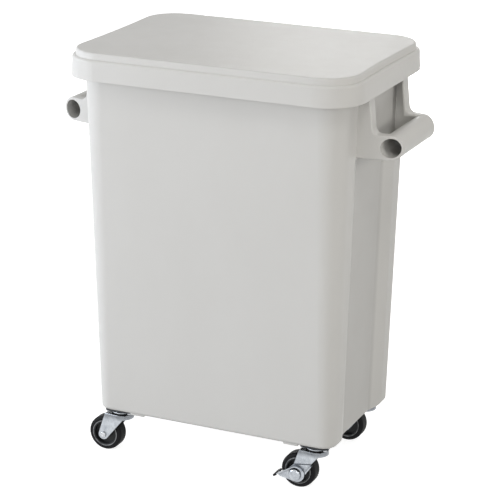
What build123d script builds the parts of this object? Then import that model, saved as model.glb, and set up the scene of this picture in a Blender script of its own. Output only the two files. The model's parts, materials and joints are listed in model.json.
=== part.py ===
# Wheeled pail: a moulded tub with hollow tube handles, a lift-off lid and four swivel casters.
# Millimetres. The origin is on the floor under the middle of the tub, +Z up, front towards -Y.
import os
from math import atan2, cos, radians, sin, tan

from build123d import *

os.makedirs("parts", exist_ok=True)

# Tub: a drafted box with rounded corners and a turned-over rim
base_length = 357.0
base_width = 220.0
base_corner = 20.5
mouth_corner = 34.0
end_draft = 1.37
front_draft = 2.35
tub_height = 508.2
tub_wall = 2.8
floor_wall = 3.0
bottom_round = 5.0
rim_reach = 12.9
rim_lip = 14.0

# Shallow recess in each short side, below the handle
recess_width = 150.0
recess_panel = 95.0
recess_depth = 9.0
recess_round = 5.0
recess_edge_round = 16.0
recess_lip = 0.05
recess_below_grip = 2.0

# Tube handle on each short side, carried by two hollow webs
grip_diameter = 33.0
grip_bore = 26.0
grip_shoulder = 0.2
grip_drop = 90.5
grip_reach = 29.4
web_length = 144.6
grip_length = 116.0
gap_length = 107.0
web_wall = 3.0
post_flare = 6.4
post_bend = 9.0
web_edge_round = 2.0

# Corner pads under the floor and bosses above it, for the plate screws
pad_depth = 0.8
pad_length = 60.0
pad_width = 50.0
pad_inset = 6.5
pad_corner = 16.0
pad_edge_round = 0.4
boss_height = 2.0
boss_round = 0.8

# Lid: skirt, ledge and raised flat top with sides that bow in
lid_wall = 2.5
lid_clearance = 1.5
skirt_depth = 28.0
skirt_draft = 3.3
skirt_edge_round = 4.0
step_height = 9.0
step_inset = 3.0
step_end_inset = 0.8
step_draft = 8.0
step_round = 2.5
side_bow = 5.2
guide_depth = 12.0
guide_wall = 2.0
guide_clearance = 1.6

# Caster heights, from the wheel up to the plate
wheel_diameter = 50.0
wheel_gap = 6.5
fork_sheet = 2.0
race_gap = 2.2
cup_depth = 3.5
plate_sheet = 1.8

# Caster places and plan sizes
caster_span_x = 298.0
caster_span_y = 178.0
trail = 23.7
crown_diameter = 33.0
crown_round = 1.2
cup_diameter = 31.4
cup_rim = 2.0
cup_round = 0.8
neck_diameter = 26.0
plate_length = 42.0
plate_width = 34.0
plate_corner = 8.0
skirt_drop = 5.0
leg_top_back = 11.0
leg_top_front = 20.5
leg_end_radius = 7.4

# Ball race and kingpin
ball_diameter = 4.0
ball_count = 8
race_diameter = 23.0
ball_clearance = 0.1
kingpin_diameter = 8.0
kingpin_head = 14.0
kingpin_head_height = 2.2
running_clearance = 0.05

# Axle, wheel and tyre
axle_diameter = 6.0
axle_head = 8.4
axle_head_height = 2.1
axle_head_round = 1.0
nut_flats = 10.0
nut_height = 3.6
axle_clearance = 0.1
axle_end = 0.5
sleeve_wall = 1.4
hub_length = 24.0
hub_boss = 16.0
hub_web = 6.0
hub_side_clearance = 0.5
rim_diameter = 38.0
rim_thickness = 2.6
rim_width = 19.2
tyre_width = 20.0
tyre_shoulder = 4.0
tyre_fit = 0.05

# Plate screws
screw_edge = 4.6
screw_diameter = 3.6
screw_head = 5.8
screw_head_height = 2.0
screw_skin = 0.7
screw_fit = 0.05

# Brake: an arm that turns on the axle and the pedal welded to it
arm_sheet = 1.5
arm_gap = 0.4
arm_radius = 11.0
arm_shoulder = 5.0
arm_crest = 10.8
wing_reach = 24.5
wing_rise = 14.8
wing_foot = 14.3
wing_round = 2.0
wing_flange = 5.0
pedal_sheet = 1.3
pedal_radius = 11.7
pedal_ahead = 0.9
pedal_drop = 1.5
pedal_edge = 4.4
edge_start = 35.0
edge_sweep = 87.0
neck_radius = 3.4
neck_place = 22.0
dome_diameter = 16.8
dome_height = 5.4
dome_round = 3.0
dome_behind = 1.9
dome_drop = 1.0
toe_length = 31.3
toe_start = 25.2
toe_depth = 19.0
toe_corner = 4.5

# Heights and outlines that follow from the sizes above
axle_z = wheel_diameter / 2
crown_bottom = wheel_diameter + wheel_gap
crown_top = crown_bottom + fork_sheet
cup_bottom = crown_top + race_gap
plate_bottom = cup_bottom + cup_depth
plate_top = plate_bottom + plate_sheet
tub_bottom = plate_top + pad_depth
floor_top = tub_bottom + floor_wall
rim_top = tub_bottom + tub_height

end_slope = tan(radians(end_draft))
mouth_length = base_length + 2 * tub_height * end_slope
mouth_width = base_width + 2 * tub_height * tan(radians(front_draft))
rim_length = mouth_length + 2 * rim_reach
rim_width_over = mouth_width + 2 * rim_reach
rim_corner = mouth_corner + rim_reach

grip_z = rim_top - grip_drop
grip_x = rim_length / 2 + grip_reach
grip_top = grip_z + grip_diameter / 2
grip_bottom = grip_z - grip_diameter / 2
grip_edge = grip_x + grip_diameter / 2
wall_at_grip = base_length / 2 + (grip_bottom - tub_bottom) * end_slope
recess_top = grip_bottom - recess_below_grip
flank_angle = atan2(recess_depth, (recess_width - recess_panel) / 2)
lip_bottom = rim_top - rim_lip
web_root = wall_at_grip - tub_wall / 2
post_foot = rim_length / 2 + post_flare
pad_x = base_length / 2 - pad_inset - pad_length / 2
pad_y = base_width / 2 - pad_inset - pad_width / 2

ledge_top = rim_top + lid_wall
skirt_bottom = ledge_top - skirt_depth
lid_top = ledge_top + step_height
skirt_growth = skirt_depth * tan(radians(skirt_draft))
lid_margin = lid_clearance + lid_wall
guide_length = mouth_length - 2 * tub_wall - 2 * guide_clearance
guide_width = mouth_width - 2 * tub_wall - 2 * guide_clearance
guide_corner = mouth_corner - tub_wall - guide_clearance

leg_inner = hub_length / 2 + hub_side_clearance
leg_outer = leg_inner + fork_sheet
leg_middle = (leg_top_back - leg_top_front) / 2
race_z = (crown_top + cup_bottom) / 2
arm_inner = leg_outer + arm_gap
arm_outer = arm_inner + arm_sheet
wing_tip = Vector(wing_reach, wing_rise)
wing_base = Vector(wing_foot, 0)
wing_line = (wing_tip - wing_base).normalized()
wing_inward = Vector(-wing_line.Y, wing_line.X)
pedal_centre = Vector(pedal_ahead, -pedal_drop)
dome_centre = pedal_centre - Vector(dome_behind, dome_drop)
toe_angle = radians(edge_start + edge_sweep)
toe_line = Vector(-sin(toe_angle), cos(toe_angle))
toe_root = pedal_centre + Vector(cos(toe_angle), sin(toe_angle)) * (pedal_radius - pedal_sheet / 2)
toe_tip = toe_root + toe_line * toe_length
toe_across = Vector(-toe_line.Y, toe_line.X)
neck_centre = toe_root + toe_line * neck_place + toe_across * (neck_radius - pedal_sheet / 2)
sleeve_radius = axle_diameter / 2 + axle_clearance + sleeve_wall
hub_bore = sleeve_radius + running_clearance
outward = (Align.CENTER, Align.MIN)
caster_x = caster_span_x / 2
caster_y = caster_span_y / 2
screw_x = plate_length / 2 - screw_edge
screw_y = plate_width / 2 - screw_edge
screw_tip = floor_top + boss_height - screw_skin
corners = {
    "fl": (-caster_x, -caster_y),
    "fr": (caster_x, -caster_y),
    "rl": (-caster_x, caster_y),
    "rr": (caster_x, caster_y),
}
braked = ("fr", "rl")


def save(piece, name):
    """Label a finished piece and write it as its own node."""
    piece.label = name
    export_step(piece, f"parts/{name}.step")


def across(x, y, z):
    """Plane facing the front of the object, for shapes that run along Y."""
    return Plane(origin=(x, y, z), x_dir=(1, 0, 0), z_dir=(0, -1, 0))


def recess_block(extra):
    """Solid that presses a recess into both short sides, grown by a wall's thickness."""
    depth = recess_depth + extra
    half_panel = recess_panel / 2 + extra * tan(flank_angle / 2)
    half_mouth = half_panel + (recess_depth + recess_lip) / tan(flank_angle)
    with BuildPart() as block:
        for side in (-1, 1):
            upward = Vector(side * sin(radians(end_draft)), 0, cos(radians(end_draft)))
            foot = Vector(side * base_length / 2, 0, tub_bottom) - upward * 2 * depth
            with BuildSketch(Plane(origin=foot, x_dir=(0, side, 0), z_dir=upward)) as section:
                with BuildLine():
                    Polyline(
                        (-recess_width, -depth),
                        (recess_width, -depth),
                        (recess_width, extra - recess_lip),
                        (half_mouth, extra - recess_lip),
                        (half_panel, depth),
                        (-half_panel, depth),
                        (-half_mouth, extra - recess_lip),
                        (-recess_width, extra - recess_lip),
                        close=True,
                    )
                make_face()
                rounds = {half_panel: recess_round + extra, half_mouth: recess_edge_round - extra}
                for reach, radius in rounds.items():
                    bends = section.vertices().filter_by(lambda v: abs(abs(v.X) - reach) < recess_lip)
                    fillet(bends, radius)
            extrude(amount=recess_top - tub_bottom + 2 * depth + extra)
    return block.part


def tub_block(wall, base):
    """Drafted block with rounded edges and both recesses pressed in, a wall in from the outside."""
    with BuildPart() as block:
        with BuildSketch(Plane.XY.offset(base)):
            RectangleRounded(base_length - 2 * wall, base_width - 2 * wall, base_corner - wall)
        with BuildSketch(Plane.XY.offset(base + tub_height)):
            RectangleRounded(mouth_length - 2 * wall, mouth_width - 2 * wall, mouth_corner - wall)
        loft(ruled=True)
        fillet(block.edges().group_by(Axis.Z)[0], bottom_round - wall)
        add(recess_block(wall), mode=Mode.SUBTRACT)
    return block.part


def grip_plan(inside):
    """Plan of the right handle, its ends curving in towards the tube."""
    half_web = web_length / 2 - inside
    half_tube = grip_length / 2 - inside
    with BuildPart() as plan:
        with BuildSketch(Plane.XY.offset(grip_bottom - grip_diameter)):
            with BuildLine():
                Line((web_root, half_web), (wall_at_grip, half_web))
                TangentArc((wall_at_grip, half_web), (grip_edge, half_tube), tangent=(1, 0))
                Line((grip_edge, half_tube), (grip_edge, -half_tube))
                TangentArc((wall_at_grip, -half_web), (grip_edge, -half_tube), tangent=(1, 0))
                Line((wall_at_grip, -half_web), (web_root, -half_web))
                Line((web_root, -half_web), (web_root, half_web))
            make_face()
        extrude(amount=grip_drop + 2 * grip_diameter)
    return plan.part


def step_outline(height, inside):
    """Plan of the lid's raised top: short sides bowed in, corners rounded."""
    half_x = rim_length / 2 + lid_margin - step_end_inset - inside
    half_y = rim_width_over / 2 + lid_margin - step_inset - inside
    with BuildSketch(Plane.XY.offset(height)) as outline:
        with BuildLine():
            Line((-half_x, -half_y), (half_x, -half_y))
            ThreePointArc((half_x, -half_y), (half_x - side_bow, 0), (half_x, half_y))
            Line((half_x, half_y), (-half_x, half_y))
            ThreePointArc((-half_x, half_y), (side_bow - half_x, 0), (-half_x, -half_y))
        make_face()
        fillet(outline.vertices(), rim_corner + lid_margin - step_inset - inside)
    return outline.sketch


def axle_pin(seat):
    """Axle bolt whose low round head seats this far out on the near side."""
    with BuildPart() as pin:
        with BuildSketch(across(-trail, -seat, axle_z)):
            Circle(axle_head / 2)
        extrude(amount=axle_head_height)
        fillet(pin.edges().group_by(Axis.Y)[0], axle_head_round)
        with BuildSketch(across(-trail, -seat, axle_z)):
            Circle(axle_diameter / 2)
        extrude(amount=-seat - leg_outer - nut_height - axle_end)
    return pin.part


def is_web_edge(edge, end):
    """True for an outer edge of a web that starts at least this far along the handle."""
    middle = edge.center()
    along = abs((edge @ 1 - edge @ 0).Y) > 0.9 * edge.length
    outside = middle.X > rim_length / 2 + web_edge_round / 2 and middle.Z > grip_bottom + web_edge_round / 2
    return outside and not along and abs(middle.Y) > end - web_edge_round / 2


outside = tub_block(0, tub_bottom)
hollow = tub_block(tub_wall, floor_top)
pad_limit = recess_block(pad_inset)
grip_outline = grip_plan(0)
web_outline = grip_plan(web_wall)
raised_top = step_outline(ledge_top - skirt_edge_round, 0)
raised_core = step_outline(rim_top, lid_wall)

# Hollow inside both webs of the right handle, open towards the fingers
with BuildPart() as web_space:
    with BuildSketch(across(0, 0, 0)):
        with BuildLine():
            Polyline(
                (web_root, grip_bottom + web_wall),
                (grip_x - grip_diameter / 4, grip_bottom + web_wall),
                (grip_x - grip_diameter / 4, grip_top - web_wall),
                (post_foot - web_wall, grip_top - web_wall),
                (rim_length / 2 - web_wall, lip_bottom),
                (web_root, lip_bottom),
                close=True,
            )
        make_face()
        with Locations((grip_x, grip_z)):
            Circle(grip_diameter / 2, mode=Mode.SUBTRACT)
    extrude(amount=web_length, both=True)
    add(web_outline, mode=Mode.INTERSECT)

with BuildPart() as grip:
    with BuildSketch(across(0, 0, 0)):
        with BuildLine():
            Polyline(
                (web_root, rim_top - tub_wall / 2),
                (rim_length / 2 - tub_wall / 2, rim_top - tub_wall / 2),
                (rim_length / 2 - tub_wall / 2, lip_bottom),
                (rim_length / 2, lip_bottom),
            )
            FilletPolyline(
                (rim_length / 2, lip_bottom),
                (post_foot, grip_top),
                (grip_x, grip_top),
                radius=post_bend,
            )
            ThreePointArc((grip_x, grip_top), (grip_edge, grip_z), (grip_x, grip_bottom))
            Polyline(
                (grip_x, grip_bottom),
                (web_root, grip_bottom),
                (web_root, rim_top - tub_wall / 2),
            )
        make_face()
    extrude(amount=web_length, both=True)
    add(grip_outline, mode=Mode.INTERSECT)
    fillet(grip.edges().filter_by(lambda e: is_web_edge(e, grip_length / 2)), web_edge_round)
    with BuildSketch(across(0, 0, grip_z)):
        with Locations((grip_x, 0)):
            Rectangle(4 * grip_drop, 4 * grip_drop)
    extrude(amount=gap_length / 2, both=True, mode=Mode.SUBTRACT)
    fillet(grip.edges().filter_by(lambda e: is_web_edge(e, gap_length / 2)), web_edge_round)
    add(web_space.part, mode=Mode.SUBTRACT)
    with BuildSketch(across(grip_x, 0, grip_z)):
        Circle(grip_diameter / 2 - grip_shoulder)
    extrude(amount=gap_length / 2 + web_wall, both=True)

# Corner pads that the casters are screwed to
with BuildPart() as pads:
    with BuildSketch(Plane.XY.offset(plate_top)) as feet:
        for side_x in (-1, 1):
            for side_y in (-1, 1):
                with Locations((side_x * pad_x, side_y * pad_y)):
                    Rectangle(pad_length, pad_width)
        fillet(feet.vertices().sort_by(lambda v: abs(v.X) + abs(v.Y))[-4:], pad_corner)
    extrude(amount=pad_depth + floor_wall / 2)
    add(pad_limit, mode=Mode.SUBTRACT)
    fillet(pads.edges().group_by(Axis.Z)[0], pad_edge_round)

# Bosses that the screws bite into, on the floor over each caster plate
with BuildPart() as bosses:
    with BuildSketch(Plane.XY.offset(floor_top - floor_wall / 2)):
        with Locations(*corners.values()):
            RectangleRounded(plate_length, plate_width, plate_corner)
    extrude(amount=floor_wall / 2 + boss_height)
    fillet(bosses.edges().group_by(Axis.Z)[-1], boss_round)

with BuildPart() as tub:
    with BuildSketch(Plane.XY.offset(lip_bottom)):
        RectangleRounded(rim_length, rim_width_over, rim_corner)
        RectangleRounded(
            rim_length - 2 * tub_wall,
            rim_width_over - 2 * tub_wall,
            rim_corner - tub_wall,
            mode=Mode.SUBTRACT,
        )
    extrude(amount=rim_lip)
    with BuildSketch(Plane.XY.offset(rim_top)):
        RectangleRounded(rim_length, rim_width_over, rim_corner)
    extrude(amount=-tub_wall)
    add(grip.part)
    add(mirror(grip.part, about=Plane.YZ))
    add(outside)
    add(pads.part)
    add(hollow, mode=Mode.SUBTRACT)
    add(bosses.part)
    with BuildSketch(across(0, 0, grip_z)):
        with Locations((-grip_x, 0), (grip_x, 0)):
            Circle(grip_bore / 2)
    extrude(amount=web_length, both=True, mode=Mode.SUBTRACT)
    with BuildSketch(Plane.XY.offset(plate_top)):
        with Locations(*corners.values()):
            with GridLocations(2 * screw_x, 2 * screw_y, 2, 2):
                Circle(screw_diameter / 2 + screw_fit)
    extrude(amount=screw_tip - plate_top + screw_fit, mode=Mode.SUBTRACT)
save(tub.part, "tub")

# Lid: the skirt drops over the rim and the raised top is hollow below
with BuildPart() as lid_pocket:
    with BuildSketch(Plane.XY.offset(skirt_bottom)):
        RectangleRounded(
            rim_length + 2 * lid_clearance + 2 * skirt_growth,
            rim_width_over + 2 * lid_clearance + 2 * skirt_growth,
            rim_corner + lid_clearance + skirt_growth,
        )
    extrude(amount=rim_top - skirt_bottom, taper=skirt_draft)

with BuildPart() as lid:
    with BuildSketch(Plane.XY.offset(skirt_bottom)):
        RectangleRounded(
            rim_length + 2 * lid_margin + 2 * skirt_growth,
            rim_width_over + 2 * lid_margin + 2 * skirt_growth,
            rim_corner + lid_margin + skirt_growth,
        )
    extrude(amount=skirt_depth, taper=skirt_draft)
    fillet(lid.faces().sort_by(Axis.Z)[-1].edges(), skirt_edge_round)
    extrude(raised_top, amount=step_height + skirt_edge_round, taper=step_draft)
    fillet(lid.faces().sort_by(Axis.Z)[-1].edges(), step_round)
    add(lid_pocket.part, mode=Mode.SUBTRACT)
    extrude(raised_core, amount=step_height, taper=step_draft, mode=Mode.SUBTRACT)
    with BuildSketch(Plane.XY.offset(rim_top - guide_depth)):
        RectangleRounded(guide_length, guide_width, guide_corner)
        RectangleRounded(
            guide_length - 2 * guide_wall,
            guide_width - 2 * guide_wall,
            guide_corner - guide_wall,
            mode=Mode.SUBTRACT,
        )
    extrude(amount=guide_depth + step_height + lid_wall / 2)
save(lid.part, "lid")

# Caster pieces, each drawn once about its own swivel axis with the wheel trailing towards -X
with BuildPart() as race_groove:
    with BuildSketch(Plane.XZ):
        with Locations((race_diameter / 2, race_z)):
            Circle(ball_diameter / 2 + ball_clearance)
    revolve(axis=Axis.Z)

with BuildPart() as caster_plate:
    with BuildSketch(Plane.XY.offset(plate_bottom)):
        RectangleRounded(plate_length, plate_width, plate_corner)
        with GridLocations(2 * screw_x, 2 * screw_y, 2, 2):
            Circle(screw_diameter / 2 + screw_fit, mode=Mode.SUBTRACT)
    extrude(amount=plate_sheet)
    with BuildSketch(Plane.XY.offset(cup_bottom)):
        Circle(cup_diameter / 2)
    extrude(amount=cup_rim)
    fillet(caster_plate.edges().filter_by(GeomType.CIRCLE).sort_by(SortBy.RADIUS)[-2:], cup_round)
    with BuildSketch(Plane.XY.offset(cup_bottom)):
        Circle(neck_diameter / 2)
    extrude(amount=cup_depth)
    with BuildSketch(Plane.XY.offset(cup_bottom)):
        Circle(kingpin_diameter / 2 + running_clearance)
    extrude(amount=cup_depth + plate_sheet, mode=Mode.SUBTRACT)
    add(race_groove.part, mode=Mode.SUBTRACT)

with BuildPart() as kingpin:
    with BuildSketch(Plane.XY.offset(crown_bottom - ball_clearance)):
        Circle(kingpin_head / 2)
    extrude(amount=-kingpin_head_height)
    fillet(kingpin.edges().group_by(Axis.Z)[0], kingpin_head_height / 3)
    with BuildSketch(Plane.XY.offset(crown_bottom - ball_clearance)):
        Circle(kingpin_diameter / 2)
    extrude(amount=plate_top - crown_bottom)

with BuildPart() as race_balls:
    with Locations((0, 0, race_z)):
        with PolarLocations(race_diameter / 2, ball_count):
            Sphere(ball_diameter / 2)

with BuildPart() as fork:
    with BuildSketch(across(0, 0, 0)):
        with Locations((-trail, axle_z)):
            Circle(leg_end_radius)
        with Locations((leg_middle, crown_top - fork_sheet / 2)):
            Rectangle(leg_top_back + leg_top_front, fork_sheet)
        make_hull()
    extrude(amount=leg_outer, both=True)
    with BuildSketch(Plane.XY.offset(crown_bottom)):
        with Locations((-trail, 0)):
            Rectangle(4 * trail, 2 * leg_inner)
    extrude(amount=-crown_bottom, mode=Mode.SUBTRACT)
    with BuildSketch(Plane.XY.offset(crown_bottom)):
        Circle(crown_diameter / 2)
        with Locations((leg_middle, 0)):
            Rectangle(leg_top_back + leg_top_front, 2 * leg_outer)
        make_hull()
    extrude(amount=fork_sheet)
    with BuildSketch(Plane.XY.offset(crown_top)):
        Circle(crown_diameter / 2)
        Circle(crown_diameter / 2 - fork_sheet, mode=Mode.SUBTRACT)
        Rectangle(crown_diameter, 2 * crown_diameter, align=(Align.MAX, Align.CENTER), mode=Mode.SUBTRACT)
    extrude(amount=-fork_sheet - skirt_drop)
    fillet(fork.faces().sort_by(Axis.Z)[-1].edges(), crown_round)
    with BuildSketch(Plane.XY.offset(crown_bottom)):
        Circle(kingpin_diameter / 2 + running_clearance)
    extrude(amount=fork_sheet, mode=Mode.SUBTRACT)
    with BuildSketch(across(-trail, 0, axle_z)):
        Circle(axle_diameter / 2 + running_clearance)
    extrude(amount=leg_outer, both=True, mode=Mode.SUBTRACT)
    add(race_groove.part, mode=Mode.SUBTRACT)

with BuildPart() as axle_bolt:
    add(axle_pin(leg_outer))

with BuildPart() as braked_axle_bolt:
    add(axle_pin(arm_outer + running_clearance))

with BuildPart() as axle_nut:
    with BuildSketch(across(-trail, leg_outer + nut_height, axle_z)):
        RegularPolygon(nut_flats / 2, 6, major_radius=False)
        Circle(axle_diameter / 2 + running_clearance, mode=Mode.SUBTRACT)
    extrude(amount=nut_height)

with BuildPart() as axle_sleeve:
    with BuildSketch(across(-trail, 0, axle_z)):
        Circle(sleeve_radius)
        Circle(axle_diameter / 2 + axle_clearance, mode=Mode.SUBTRACT)
    extrude(amount=leg_inner, both=True)

with BuildPart() as wheel_hub:
    with BuildSketch(Plane(origin=(-trail, 0, axle_z), x_dir=(0, 1, 0), z_dir=(1, 0, 0))) as section:
        with Locations((0, hub_bore)):
            Rectangle(hub_length, hub_boss / 2 - hub_bore, align=outward)
            Rectangle(hub_web, rim_diameter / 2 - sleeve_radius - rim_thickness, align=outward)
        with Locations((0, rim_diameter / 2 - rim_thickness)):
            Rectangle(rim_width, rim_thickness, align=outward)
    revolve(axis=Axis((-trail, 0, axle_z), (0, 1, 0)))

with BuildPart() as tyre:
    with BuildSketch(Plane(origin=(-trail, 0, axle_z), x_dir=(0, 1, 0), z_dir=(1, 0, 0))) as section:
        with Locations((0, rim_diameter / 2 + tyre_fit)):
            Rectangle(tyre_width, (wheel_diameter - rim_diameter) / 2 - tyre_fit, align=outward)
        fillet(section.vertices().group_by(Axis.Y)[-1], tyre_shoulder)
    revolve(axis=Axis((-trail, 0, axle_z), (0, 1, 0)))

# Brake arm: a plate on the axle with a flanged wing, held on by the bolt's head
with BuildPart() as brake_arm:
    with BuildSketch(across(-trail, -arm_inner, axle_z)) as outline:
        Circle(arm_radius)
        with BuildLine():
            Polyline(
                (-arm_shoulder, 0),
                (arm_radius * cos(radians(45)), -arm_radius * sin(radians(45))),
                (wing_foot, 0),
                (wing_reach, wing_rise),
                (-arm_shoulder, arm_crest),
                close=True,
            )
        make_face()
        fillet(outline.vertices().sort_by(Axis.Y)[-1:], wing_round)
        Circle(axle_diameter / 2 + running_clearance, mode=Mode.SUBTRACT)
    extrude(amount=arm_sheet)
    with BuildSketch(across(-trail, -arm_inner, axle_z)):
        with BuildLine():
            Line(
                wing_base + wing_inward * arm_sheet / 2 + wing_line * wing_round,
                wing_tip + wing_inward * arm_sheet / 2 - wing_line * wing_round,
            )
        trace(line_width=arm_sheet)
    extrude(amount=wing_flange)

# Toe of the pedal: the turned edge widens in front of the tyre
with BuildPart() as toe:
    with BuildSketch(across(-trail, toe_depth - arm_outer - pedal_edge, axle_z)):
        with BuildLine():
            Line(toe_root + toe_line * toe_start, toe_tip)
        trace(line_width=pedal_sheet)
    extrude(amount=toe_depth)
    with BuildSketch() as plan:
        with Locations((-trail, toe_depth / 2 - arm_outer - pedal_edge)):
            Rectangle(-toe_tip.X, toe_depth, align=(Align.MAX, Align.CENTER))
        fillet(plan.vertices().group_by(Axis.X)[0], toe_corner)
    extrude(amount=wheel_diameter, mode=Mode.INTERSECT)

# Brake pedal: a spoon with a turned top edge and a dome that covers the bolt's head
with BuildPart() as brake_pedal:
    with BuildSketch(across(-trail, -arm_outer, axle_z)):
        with Locations(pedal_centre):
            Circle(pedal_radius)
        with Locations(neck_centre):
            Circle(neck_radius)
        make_hull()
    extrude(amount=pedal_sheet)
    with BuildSketch(across(-trail, -arm_outer, axle_z)):
        with BuildLine():
            CenterArc(pedal_centre, pedal_radius - pedal_sheet / 2, edge_start, edge_sweep)
            Line(toe_root, toe_tip)
        trace(line_width=pedal_sheet)
    extrude(amount=pedal_edge)
    with BuildSketch(across(-trail, -arm_outer, axle_z)):
        with Locations(dome_centre):
            Circle(dome_diameter / 2)
    extrude(amount=dome_height)
    fillet(brake_pedal.edges().group_by(Axis.Y)[0], dome_round)
    with BuildSketch(across(-trail, -arm_outer, axle_z)):
        with Locations(dome_centre):
            Circle(dome_diameter / 2 - pedal_sheet)
    extrude(amount=dome_height - pedal_sheet, mode=Mode.SUBTRACT)
    add(toe.part)

with BuildPart() as plate_screws:
    with BuildSketch(Plane.XY.offset(plate_bottom)):
        with Locations(*corners.values()):
            with GridLocations(2 * screw_x, 2 * screw_y, 2, 2):
                Circle(screw_head / 2)
    extrude(amount=-screw_head_height)
    chamfer(plate_screws.edges().group_by(Axis.Z)[0], screw_head_height / 3)
    with BuildSketch(Plane.XY.offset(plate_bottom)):
        with Locations(*corners.values()):
            with GridLocations(2 * screw_x, 2 * screw_y, 2, 2):
                Circle(screw_diameter / 2)
    extrude(amount=screw_tip - plate_bottom)
save(plate_screws.part, "plate_screws")

for corner, place in corners.items():
    pieces = {
        "caster_plate": caster_plate,
        "kingpin": kingpin,
        "race_balls": race_balls,
        "fork": fork,
        "axle_bolt": axle_bolt,
        "axle_nut": axle_nut,
        "axle_sleeve": axle_sleeve,
        "wheel_hub": wheel_hub,
        "tyre": tyre,
    }
    if corner in braked:
        pieces["axle_bolt"] = braked_axle_bolt
        pieces["brake_arm"] = brake_arm
        pieces["brake_pedal"] = brake_pedal
    for name, piece in pieces.items():
        save(piece.part.moved(Location(place)), f"{name}_{corner}")
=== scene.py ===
import json
import math

import bpy
from mathutils import Matrix, Vector


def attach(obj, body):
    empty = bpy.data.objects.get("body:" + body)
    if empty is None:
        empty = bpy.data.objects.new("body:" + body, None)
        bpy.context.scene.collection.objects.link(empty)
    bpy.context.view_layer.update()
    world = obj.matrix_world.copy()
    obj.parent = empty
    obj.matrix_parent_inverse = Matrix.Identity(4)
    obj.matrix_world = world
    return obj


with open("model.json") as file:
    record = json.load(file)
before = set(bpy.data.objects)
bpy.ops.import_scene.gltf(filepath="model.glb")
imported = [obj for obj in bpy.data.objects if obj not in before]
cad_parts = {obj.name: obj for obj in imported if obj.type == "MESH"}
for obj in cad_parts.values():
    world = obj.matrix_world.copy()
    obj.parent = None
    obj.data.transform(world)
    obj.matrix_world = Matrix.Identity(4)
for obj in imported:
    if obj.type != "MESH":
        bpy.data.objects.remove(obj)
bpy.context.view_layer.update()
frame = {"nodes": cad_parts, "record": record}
nodes = frame["nodes"]
bpy.ops.object.select_all(action="DESELECT")
print("frame loaded,", len(nodes), "solids")


# shader helpers

def newMaterial(name):
    mat = bpy.data.materials.new(name)
    mat.use_nodes = True
    tree = mat.node_tree
    tree.nodes.clear()
    out = tree.nodes.new("ShaderNodeOutputMaterial")
    shader = tree.nodes.new("ShaderNodeBsdfPrincipled")
    tree.links.new(shader.outputs["BSDF"], out.inputs["Surface"])
    place = tree.nodes.new("ShaderNodeTexCoord").outputs["Object"]
    return mat, tree, shader, place


def noise(tree, place, scale, detail, rough=0.5, stretch=None):
    if stretch:
        mapping = tree.nodes.new("ShaderNodeMapping")
        mapping.inputs["Scale"].default_value = stretch
        tree.links.new(place, mapping.inputs["Vector"])
        place = mapping.outputs["Vector"]
    tex = tree.nodes.new("ShaderNodeTexNoise")
    tex.inputs["Scale"].default_value = scale
    tex.inputs["Detail"].default_value = detail
    tex.inputs["Roughness"].default_value = rough
    tree.links.new(place, tex.inputs["Vector"])
    return tex.outputs["Fac"]


def ramp(tree, fac, ends, low, high):
    node = tree.nodes.new("ShaderNodeValToRGB")
    for element, end, colour in zip(node.color_ramp.elements, ends, (low, high)):
        element.position = end
        element.color = (*colour, 1.0)
    tree.links.new(fac, node.inputs["Fac"])
    return node.outputs["Color"]


def spread(tree, fac, low, high, start=0.3, end=0.7):
    node = tree.nodes.new("ShaderNodeMapRange")
    node.inputs["From Min"].default_value = start
    node.inputs["From Max"].default_value = end
    node.inputs["To Min"].default_value = low
    node.inputs["To Max"].default_value = high
    tree.links.new(fac, node.inputs["Value"])
    return node.outputs["Result"]


def maths(tree, operation, *values):
    node = tree.nodes.new("ShaderNodeMath")
    node.operation = operation
    for socket, value in zip(node.inputs, values):
        if isinstance(value, float):
            socket.default_value = value
        else:
            tree.links.new(value, socket)
    return node.outputs[0]


def mixColour(tree, factor, first, second):
    # each colour is either a plain one or another node's output
    node = tree.nodes.new("ShaderNodeMix")
    node.data_type = "RGBA"
    tree.links.new(factor, node.inputs["Factor"])
    for socket, colour in ((node.inputs["A"], first), (node.inputs["B"], second)):
        if isinstance(colour, tuple):
            socket.default_value = (*colour, 1.0)
        else:
            tree.links.new(colour, socket)
    return node.outputs["Result"]


def bump(tree, shader, height, strength, depth):
    node = tree.nodes.new("ShaderNodeBump")
    node.inputs["Strength"].default_value = strength
    node.inputs["Distance"].default_value = depth
    tree.links.new(height, node.inputs["Height"])
    tree.links.new(node.outputs["Normal"], shader.inputs["Normal"])


def coordinates(tree, place):
    node = tree.nodes.new("ShaderNodeSeparateXYZ")
    tree.links.new(place, node.inputs[0])
    return node.outputs


creviceSamples = 12


def crevice(tree, unshaded, paintedShade, reach, start, end):
    # painted shade: darkens the colour where other surfaces stand within reach, as shade falls in creases
    # and hollows
    near = tree.nodes.new("ShaderNodeAmbientOcclusion")
    near.samples = creviceSamples
    near.inputs["Distance"].default_value = reach
    return mixColour(tree, spread(tree, near.outputs["AO"], 0.0, 1.0, start, end), paintedShade, unshaded)
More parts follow.
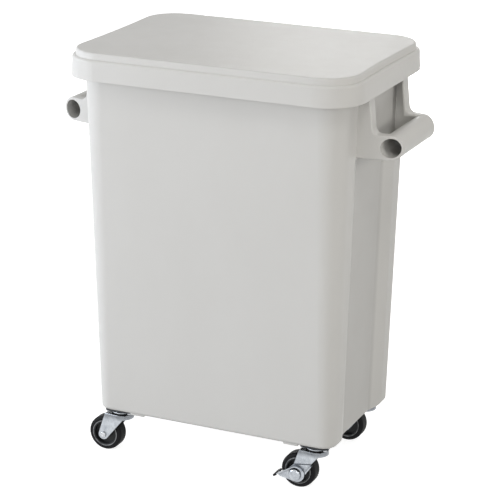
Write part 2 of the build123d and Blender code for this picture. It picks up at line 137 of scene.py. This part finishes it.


# moulded pail plastic: warm light grey with faint flow clouds, a fine satin grain, and painted shade
# darkening its hollows
pailPlastic = {
    "pale": (0.590, 0.582, 0.560), "deep": (0.566, 0.557, 0.534), "cloudEnds": (0.32, 0.68),
    "cloud": {"scale": 5.0, "detail": 4.0, "rough": 0.55, "stretch": (1.0, 1.0, 0.45)},
    "smear": {"scale": 38.0, "detail": 3.0, "rough": 0.6}, "gloss": (0.34, 0.42), "shine": 0.14,
    "grain": {"scale": 1500.0, "detail": 2.0, "rough": 0.6}, "relief": {"strength": 0.35, "depth": 0.00006},
    # the dark colour for the hollows is painted shade, mixed in by the crevice shading
    "creaseShadeColour": (0.060, 0.055, 0.043), "hollow": {"reach": 0.034, "start": 0.02, "end": 0.17},
    "recess": None,
}
# painted shade on the flat panel of each side recess, set below
tubPlastic = {**pailPlastic, "recess": {
    "foot": 0.1769, "slope": 0.02392,  # half the tub's length at the floor, and how it grows with height
    "depth": 0.009, "edge": (0.0008, 0.0022), "across": (0.054, 0.060),
    "panelShadeColour": (0.0, 0.0, 0.0), "shade": 0.12,
}}
lidPlastic = {**pailPlastic, "gloss": (0.31, 0.38), "shine": 0.20}  # the lid's face is smoother


def shadeRecess(tree, place, unshaded, look):
    # painted shade: the flat panel of each side recess is darkened against the drafted wall, standing in
    # for the shade that falls into the recess
    at = coordinates(tree, place)
    wall = maths(tree, "MULTIPLY_ADD", at["Z"], look["slope"], look["foot"])
    inward = maths(tree, "SUBTRACT", wall, maths(tree, "ABSOLUTE", at["X"]))
    off = maths(tree, "ABSOLUTE", maths(tree, "SUBTRACT", inward, look["depth"]))
    onPanel = spread(tree, off, 1.0, 0.0, *look["edge"])
    across = spread(tree, maths(tree, "ABSOLUTE", at["Y"]), look["shade"], 0.0, *look["across"])
    return mixColour(tree, maths(tree, "MULTIPLY", onPanel, across), unshaded, look["panelShadeColour"])


def makePailPlastic(name, look):
    mat, tree, shader, place = newMaterial(name)
    clouds = noise(tree, place, **look["cloud"])
    unshaded = ramp(tree, clouds, look["cloudEnds"], look["deep"], look["pale"])
    if look["recess"]:
        unshaded = shadeRecess(tree, place, unshaded, look["recess"])
    tree.links.new(crevice(tree, unshaded, look["creaseShadeColour"], **look["hollow"]), shader.inputs["Base Color"])
    smear = noise(tree, place, **look["smear"])
    tree.links.new(spread(tree, smear, *look["gloss"]), shader.inputs["Roughness"])
    bump(tree, shader, noise(tree, place, **look["grain"]), **look["relief"])
    shader.inputs["Specular IOR Level"].default_value = look["shine"]
    return mat


# zinc-plated pressed steel of the casters
zincSteel = {
    "bright": (0.49, 0.515, 0.545), "dull": (0.33, 0.35, 0.38), "spangleEnds": (0.30, 0.70),
    "spangle": {"scale": 120.0, "detail": 4.0, "rough": 0.65},
    "rub": {"scale": 420.0, "detail": 3.0, "rough": 0.6, "stretch": (1.0, 1.0, 0.2)},
    "gloss": (0.20, 0.36), "relief": {"strength": 0.12, "depth": 0.00004},
    # the near-black colour is painted shade for creases, and for the shaded bands set below
    "paintedShade": (0.010, 0.011, 0.013), "hollow": {"reach": 0.005, "start": 0.28, "end": 0.88},
    "shadeBand": None,
}
# the same sheet with painted shade: darkened a little round the fork's crown, and black from the plate's
# neck up to the pail, where shade falls under the pail
forkSteel = {**zincSteel, "shadeBand": {"heights": (0.0490, 0.0545), "most": 0.48}}
plateSteel = {**zincSteel, "shadeBand": {"heights": (0.0628, 0.0633), "most": 0.9}}
# turned and headed steel: bolts, nuts, rivets, balls
brightSteel = {
    **zincSteel, "bright": (0.62, 0.64, 0.66), "dull": (0.36, 0.37, 0.39), "gloss": (0.18, 0.32),
    "spangle": {"scale": 420.0, "detail": 4.0, "rough": 0.65},
    # the near-black colour is painted shade for creases
    "paintedShade": (0.010, 0.011, 0.012), "hollow": {"reach": 0.003, "start": 0.25, "end": 0.85},
}


def makeZincSteel(name, look):
    mat, tree, shader, place = newMaterial(name)
    shader.inputs["Metallic"].default_value = 1.0
    spangle = noise(tree, place, **look["spangle"])
    unshaded = ramp(tree, spangle, look["spangleEnds"], look["dull"], look["bright"])
    colour = crevice(tree, unshaded, look["paintedShade"], **look["hollow"])
    # painted shade: the colour darkens towards near-black over the given heights
    if look["shadeBand"]:
        height = coordinates(tree, place)["Z"]
        shadeAmount = spread(tree, height, 0.0, look["shadeBand"]["most"], *look["shadeBand"]["heights"])
        colour = mixColour(tree, shadeAmount, colour, look["paintedShade"])
    tree.links.new(colour, shader.inputs["Base Color"])
    rub = noise(tree, place, **look["rub"])
    tree.links.new(spread(tree, rub, *look["gloss"]), shader.inputs["Roughness"])
    bump(tree, shader, rub, **look["relief"])
    return mat


# black rubber tyre with dusty patches
tyreRubber = {
    "dark": (0.004, 0.004, 0.005), "pale": (0.010, 0.010, 0.010), "patchEnds": (0.40, 0.75),
    "patch": {"scale": 60.0, "detail": 4.0, "rough": 0.6}, "gloss": (0.48, 0.70), "shine": 0.13,
    "grain": {"scale": 1400.0, "detail": 2.0}, "relief": {"strength": 0.25, "depth": 0.00008},
}
# dark nylon wheel centre
hubNylon = {
    "dark": (0.012, 0.013, 0.014), "pale": (0.026, 0.028, 0.029), "patchEnds": (0.35, 0.70),
    "patch": {"scale": 80.0, "detail": 3.0, "rough": 0.55}, "gloss": (0.40, 0.55), "shine": 0.3,
    "grain": {"scale": 1100.0, "detail": 2.0}, "relief": {"strength": 0.2, "depth": 0.00006},
}
# painted highlight: pale grey edge of the wheel centre, standing in for the light caught on the rim's
# rounded edge
paintedHighlightNylon = {
    **hubNylon, "dark": (0.11, 0.113, 0.116), "pale": (0.30, 0.305, 0.31),
    "patch": {"scale": 160.0, "detail": 3.0, "rough": 0.55},
}


def makeDarkMoulding(name, look):
    mat, tree, shader, place = newMaterial(name)
    patch = noise(tree, place, **look["patch"])
    colour = ramp(tree, patch, look["patchEnds"], look["dark"], look["pale"])
    tree.links.new(colour, shader.inputs["Base Color"])
    tree.links.new(spread(tree, patch, *look["gloss"]), shader.inputs["Roughness"])
    bump(tree, shader, noise(tree, place, **look["grain"]), **look["relief"])
    shader.inputs["Specular IOR Level"].default_value = look["shine"]
    return mat


# by material slot, and for the caster plates and forks by kind of piece
finishes = {
    "pail_plastic": makePailPlastic("pailPlastic", tubPlastic),
    "lid_plastic": makePailPlastic("lidPlastic", lidPlastic),
    "zinc_steel": makeZincSteel("zincSteel", zincSteel),
    "caster_plate": makeZincSteel("plateSteel", plateSteel),
    "fork": makeZincSteel("forkSteel", forkSteel),
    "bright_steel": makeZincSteel("brightSteel", brightSteel),
    "hub_plastic": makeDarkMoulding("hubNylon", hubNylon),
    "tyre_rubber": makeDarkMoulding("tyreRubber", tyreRubber),
}
for entry in frame["record"]["subparts"]:
    solid = nodes[entry["node"]]
    solid.data.materials.clear()
    kind = entry["node"].rsplit("_", 1)[0]  # the name without its corner
    solid.data.materials.append(finishes.get(kind, finishes[entry["material_slot"]]))
print("finishes put on", len(nodes), "solids")


# tools for the small pieces

smoothAngle = math.radians(40)  # sharper edges than this stay crisp
quarterTurn = math.radians(90)
ringSteps = 72
mergeWithin = 0.000002


def startPiece(name, addPrimitive, middle, turn, size):
    # a primitive at its size and place, open in edit mode with all of it selected
    bpy.ops.object.select_all(action="DESELECT")
    addPrimitive(size=1.0, location=middle, rotation=turn)
    piece = bpy.context.object
    piece.name = name
    piece.scale = size
    bpy.ops.object.transform_apply(location=True, rotation=True, scale=True)
    bpy.ops.object.mode_set(mode="EDIT")
    bpy.ops.mesh.select_all(action="SELECT")
    return piece


def closePiece():
    bpy.ops.mesh.select_all(action="SELECT")
    bpy.ops.mesh.normals_make_consistent(inside=False)
    bpy.ops.object.mode_set(mode="OBJECT")
    bpy.ops.object.shade_smooth_by_angle(angle=smoothAngle)


def spunRing(name, middle, look, outward, turn, axis):
    # a small strip with rounded corners, spun once round the axis
    stripMiddle = Vector(middle) + look["radius"] * Vector(outward)
    stripSize = (look["width"], look["depth"], 1.0)
    piece = startPiece(name, bpy.ops.mesh.primitive_plane_add, stripMiddle, turn, stripSize)
    bpy.ops.mesh.bevel(offset=look["rounding"], offset_type="OFFSET", segments=3, affect="VERTICES")
    bpy.ops.mesh.select_all(action="SELECT")
    bpy.ops.mesh.spin(steps=ringSteps, dupli=False, angle=2 * math.pi, center=middle, axis=axis)
    bpy.ops.mesh.select_all(action="SELECT")
    bpy.ops.mesh.remove_doubles(threshold=mergeWithin)
    bpy.ops.mesh.select_all(action="DESELECT")
    bpy.ops.mesh.select_mode(type="FACE")
    bpy.ops.mesh.select_interior_faces()  # the strip that the spin started from
    bpy.ops.mesh.delete(type="FACE")
    closePiece()
    return piece


def roundedBlock(name, middle, size, turn, rounding):
    piece = startPiece(name, bpy.ops.mesh.primitive_cube_add, middle, turn, size)
    bpy.ops.mesh.bevel(offset=rounding, offset_type="OFFSET", segments=4, affect="EDGES")
    closePiece()
    return piece


def copyPiece(model, name, shift):
    # a copy with its own mesh, and its place put into that mesh
    bpy.ops.object.select_all(action="DESELECT")
    model.select_set(True)
    bpy.context.view_layer.objects.active = model
    bpy.ops.object.duplicate(linked=False)
    piece = bpy.context.object
    piece.name = name
    piece.location = shift
    bpy.ops.object.transform_apply(location=True, rotation=False, scale=False)
    return piece


def setOut(model, rows, mat):
    # rows of name, middle and body: the model stands at the first, and a copy goes to each of the others
    names, middles, bodies = zip(*rows)
    pieces = [model]
    for name, middle in zip(names[1:], middles[1:]):
        pieces.append(copyPiece(model, name, middle - middles[0]))
    for piece, body in zip(pieces, bodies):
        piece.data.materials.clear()
        piece.data.materials.append(mat)
        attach(piece, body)


# where the casters are: each kingpin, and its axle's place behind it and height
kingpins = {"fl": (-0.149, -0.089), "fr": (0.149, -0.089), "rl": (-0.149, 0.089), "rr": (0.149, 0.089)}
braked = ("fr", "rl")
axle = {"trail": 0.0237, "height": 0.025}


def axleMiddle(corner):
    x, y = kingpins[corner]
    return Vector((x - axle["trail"], y, axle["height"]))


# grey bead round each side of every wheel centre, where the tyre is moulded on; its pale grey is a painted
# highlight of the rim's edge
wheelBead = {"radius": 0.0184, "side": 0.00985, "width": 0.0012, "depth": 0.0011, "rounding": 0.0004}


def makeWheelBeads(look):
    rows = []
    for corner in kingpins:
        for face, y in (("front", -look["side"]), ("back", look["side"])):
            middle = axleMiddle(corner) + Vector((0, y, 0))
            rows.append((f"wheelBead.{corner}.{face}", middle, f"wheel_{corner}"))
    name, middle = rows[0][:2]
    bead = spunRing(name, middle, look, outward=(0, 0, 1), turn=(0, quarterTurn, 0), axis=(0, 1, 0))
    setOut(bead, rows, makeDarkMoulding("paintedHighlightNylon", paintedHighlightNylon))


makeWheelBeads(wheelBead)

# black seal in the gap of each ball race; its black also stands in for the shade inside the gap
raceSeal = {"radius": 0.0142, "height": 0.0595, "width": 0.0018, "depth": 0.0018, "rounding": 0.0005}


def makeRaceSeals(look):
    rows = [(f"raceSeal.{corner}", Vector((x, y, look["height"])), f"swivel_{corner}")
            for corner, (x, y) in kingpins.items()]
    name, middle = rows[0][:2]
    seal = spunRing(name, middle, look, outward=(1, 0, 0), turn=(quarterTurn, 0, 0), axis=(0, 0, 1))
    setOut(seal, rows, finishes["tyre_rubber"])


makeRaceSeals(raceSeal)

# black sleeve pushed over the toe of each brake pedal, measured from the axle; its black also stands in for
# the dark reflection on the toe's top
toeSleeve = {"root": (-0.00496, 0.00787), "slope": 32.0, "start": 0.0262, "end": 0.0322,
             "thick": 0.0029, "near": -0.0213, "depth": 0.0205, "rounding": 0.0011}


def makeToeSleeves(look):
    slope = math.radians(look["slope"])
    along = (look["start"] + look["end"]) / 2
    rootX, rootZ = look["root"]
    fromAxle = Vector((rootX - along * math.cos(slope), look["near"] + look["depth"] / 2,
                       rootZ - along * math.sin(slope)))
    rows = [(f"toeSleeve.{corner}", axleMiddle(corner) + fromAxle, f"pedal_{corner}") for corner in braked]
    name, middle = rows[0][:2]
    size = (look["end"] - look["start"], look["depth"], look["thick"])
    sleeve = roundedBlock(name, middle, size, (0, -slope, 0), look["rounding"])
    setOut(sleeve, rows, finishes["tyre_rubber"])


makeToeSleeves(toeSleeve)

# moulded shoulder beside each caster plate, on its inner side, level with the plate's underside
padShoulder = {"inner": 0.106, "outer": 0.1274, "front": 0.107, "back": 0.074,
               "bottom": 0.0642, "top": 0.0675, "rounding": 0.0009}


def makePadShoulders(look):
    x = (look["outer"] + look["inner"]) / 2
    y = (look["front"] + look["back"]) / 2
    z = (look["top"] + look["bottom"]) / 2
    rows = [(f"padShoulder.{corner}", Vector((math.copysign(x, kingX), math.copysign(y, kingY), z)), "pail")
            for corner, (kingX, kingY) in kingpins.items()]
    name, middle = rows[0][:2]
    size = (look["outer"] - look["inner"], look["front"] - look["back"], look["top"] - look["bottom"])
    shoulder = roundedBlock(name, middle, size, (0, 0, 0), look["rounding"])
    setOut(shoulder, rows, finishes["pail_plastic"])


makePadShoulders(padShoulder)
print("wheel beads, race seals, toe sleeves and pad shoulders made")


def seenDirectly(tree):
    # 1 for what the camera sees, also in metal or glass, and 0 for the light that falls on the pail
    ray = tree.nodes.new("ShaderNodeLightPath")
    seen = maths(tree, "MAXIMUM", ray.outputs["Is Camera Ray"], ray.outputs["Is Glossy Ray"])
    return maths(tree, "MAXIMUM", seen, ray.outputs["Is Transmission Ray"])


# floor: pale, white to the camera, still taking the pail's shadow
floorLook = {
    "size": 14.0, "grey": (0.58, 0.58, 0.575), "paler": (0.5858, 0.5858, 0.58075), "speckEnds": (0.3, 0.7),
    "speck": {"scale": 3.0, "detail": 2.0}, "rough": 0.9, "shine": 0.0,
    "whiteness": (0.80, 1.0), "whiteFrom": (0.4, 1.3),  # near the pail and far off, and how far that is
}


def makeFloor(look):
    bpy.ops.mesh.primitive_plane_add(size=look["size"], location=(0, 0, 0))
    floor = bpy.context.object
    floor.name = "floor"
    mat, tree, shader, place = newMaterial("floorPaper")
    shader.inputs["Roughness"].default_value = look["rough"]
    shader.inputs["Specular IOR Level"].default_value = look["shine"]
    speck = noise(tree, place, **look["speck"])
    colour = ramp(tree, speck, look["speckEnds"], look["grey"], look["paler"])
    tree.links.new(colour, shader.inputs["Base Color"])
    away = tree.nodes.new("ShaderNodeVectorMath")
    away.operation = "LENGTH"
    tree.links.new(place, away.inputs[0])
    white = spread(tree, away.outputs["Value"], *look["whiteness"], *look["whiteFrom"])
    shader.inputs["Emission Color"].default_value = (1, 1, 1, 1)
    tree.links.new(maths(tree, "MULTIPLY", seenDirectly(tree), white), shader.inputs["Emission Strength"])
    floor.data.materials.append(mat)


makeFloor(floorLook)

# white room: white to the camera and in reflections, a plain grey fill as light
roomLook = {"fill": 0.30, "white": 1.0}


def makeRoom(look):
    world = bpy.data.worlds.new("room")
    bpy.context.scene.world = world
    world.use_nodes = True
    tree = world.node_tree
    tree.nodes.clear()
    out = tree.nodes.new("ShaderNodeOutputWorld")
    back = tree.nodes.new("ShaderNodeBackground")
    back.inputs["Color"].default_value = (1, 1, 1, 1)
    level = spread(tree, seenDirectly(tree), look["fill"], look["white"], 0.0, 1.0)
    tree.links.new(level, back.inputs["Strength"])
    tree.links.new(back.outputs["Background"], out.inputs["Surface"])


makeRoom(roomLook)

# soft round studio lamps, all turned to the middle of the pail
lampAim = (0, 0, 0.35)
lamps = {
    "keyLamp": {"place": (-1.6, -1.6, 0.7), "size": 1.0, "watts": 26.6, "tint": (0.90, 0.935, 1.0)},
    "leftLamp": {"place": (-2.2, -0.5, 0.9), "size": 1.0, "watts": 22.0, "tint": (0.90, 0.935, 1.0)},
    "nearLamp": {"place": (0.9, -2.6, 1.0), "size": 1.0, "watts": 9.1, "tint": (1.0, 0.985, 0.965)},
    "cornerLamp": {"place": (1.8, -1.7, 1.0), "size": 0.8, "watts": 6.1, "tint": (1.0, 0.98, 0.945)},
    "sideLamp": {"place": (2.4, -0.4, 1.1), "size": 0.8, "watts": 12.4, "tint": (1.0, 0.98, 0.945)},
    "topLamp": {"place": (0.9, -1.2, 2.2), "size": 0.6, "watts": 6.5, "tint": (1.0, 0.98, 0.945)},
    "overLamp": {"place": (0.2, 0.2, 2.4), "size": 1.0, "watts": 5.8, "tint": (1.0, 0.985, 0.955)},
    "lidLamp": {"place": (-0.6, 2.0, 1.35), "size": 0.8, "watts": 1.6, "tint": (1.0, 1.0, 0.98)},
    "rearLamp": {"place": (-0.8, 2.3, 0.25), "size": 1.0, "watts": 28.0, "tint": (1.0, 1.0, 1.0)},
}


def aimAt(place, target):
    back = (Vector(place) - Vector(target)).normalized()
    side = Vector((0, 0, 1)).cross(back).normalized()
    return Matrix((side, back.cross(side), back)).transposed().to_4x4()


def makeLamp(name, look):
    data = bpy.data.lights.new(name, "AREA")
    data.shape = "DISK"
    data.size = look["size"]
    data.energy = look["watts"]
    data.color = look["tint"]
    lamp = bpy.data.objects.new(name, data)
    bpy.context.scene.collection.objects.link(lamp)
    lamp.matrix_world = Matrix.Translation(look["place"]) @ aimAt(look["place"], lampAim)


for lampName, lampLook in lamps.items():
    makeLamp(lampName, lampLook)
print("floor, room and lamps set")

# camera where the photograph was taken from
cameraLook = {"place": (1.1146, -2.4600, 1.1853), "ahead": (-0.3901, 0.8659, -0.3133), "roll": 0.51,
              "lens": 147.5, "sensor": 36.0, "reach": 50.0}


def makeCamera(look):
    data = bpy.data.cameras.new("photoCamera")
    data.sensor_width = look["sensor"]
    data.sensor_fit = "HORIZONTAL"
    data.lens = look["lens"]
    data.clip_end = look["reach"]
    camera = bpy.data.objects.new("photoCamera", data)
    bpy.context.scene.collection.objects.link(camera)
    place = Vector(look["place"])
    turn = aimAt(place, place + Vector(look["ahead"]))
    roll = Matrix.Rotation(math.radians(look["roll"]), 4, "Z")
    camera.matrix_world = Matrix.Translation(place) @ turn @ roll
    bpy.context.scene.camera = camera


makeCamera(cameraLook)
bpy.context.scene.view_settings.view_transform = "Standard"
print("camera set")
